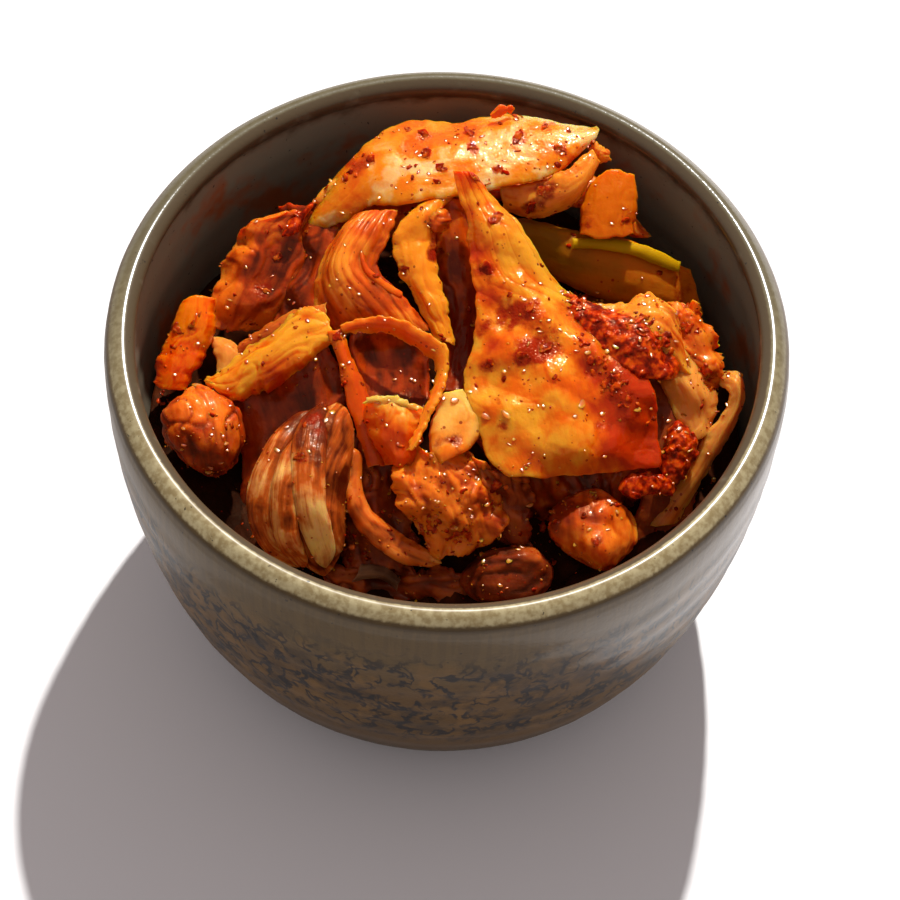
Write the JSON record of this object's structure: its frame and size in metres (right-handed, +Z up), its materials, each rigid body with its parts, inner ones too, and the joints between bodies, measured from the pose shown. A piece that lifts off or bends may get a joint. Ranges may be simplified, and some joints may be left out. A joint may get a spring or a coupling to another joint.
{
  "type": "kimchi in a bowl",
  "caption": "Heap of napa cabbage kimchi with carrot, radish and chilli paste, filling a small round stoneware bowl.",
  "frame": {"origin": "centre of the bowl's foot, on the surface it stands on", "axes": "+Z up along the bowl's axis, -Y towards the side that the heap's largest leaf slopes down to"},
  "size_m": [0.111, 0.111, 0.0774],
  "materials": {
    "stoneware_glaze": "satin mottled glaze",
    "cabbage_stem": "wet",
    "cabbage_leaf": "wet",
    "stained_leaf": "wet",
    "white_radish": "wet",
    "green_radish": "wet",
    "carrot": "wet",
    "onion": "wet",
    "chilli_paste": "wet, coarse",
    "sauced_bed": "wet"
  },
  "bodies": {
    "root": {"bowl": "stoneware_glaze", "crown_stem": "cabbage_stem", "front_leaf": "cabbage_leaf", "under_leaf": "cabbage_leaf", "radish_block": "white_radish", "green_slice": "green_radish", "paste_patch": "chilli_paste", "right_fold": "cabbage_leaf", "right_leaf": "cabbage_leaf", "right_stem": "cabbage_stem", "right_strip": "cabbage_leaf", "paste_right": "chilli_paste", "paste_low": "chilli_paste", "right_knob": "stained_leaf", "dark_knob": "stained_leaf", "loop_band": "cabbage_leaf", "loop_arm": "cabbage_leaf", "chunk_right": "cabbage_stem", "chunk_left": "cabbage_stem", "crumple_leaf": "stained_leaf", "crumple_side": "stained_leaf", "hook_strip": "stained_leaf", "left_strip": "cabbage_leaf", "ribbed_leaf": "stained_leaf", "centre_strip": "cabbage_leaf", "left_knob": "stained_leaf", "carrot_stick": "carrot", "rolled_stem": "cabbage_stem", "back_left_leaf": "stained_leaf", "pale_bit": "cabbage_stem", "loop_cup": "stained_leaf", "dark_leaf": "stained_leaf", "onion_slip": "onion", "paste_back": "chilli_paste", "rear_leaf_left": "cabbage_leaf", "rear_leaf_right": "cabbage_leaf", "kimchi_bed": "sauced_bed"}
  },
  "joints": []
}
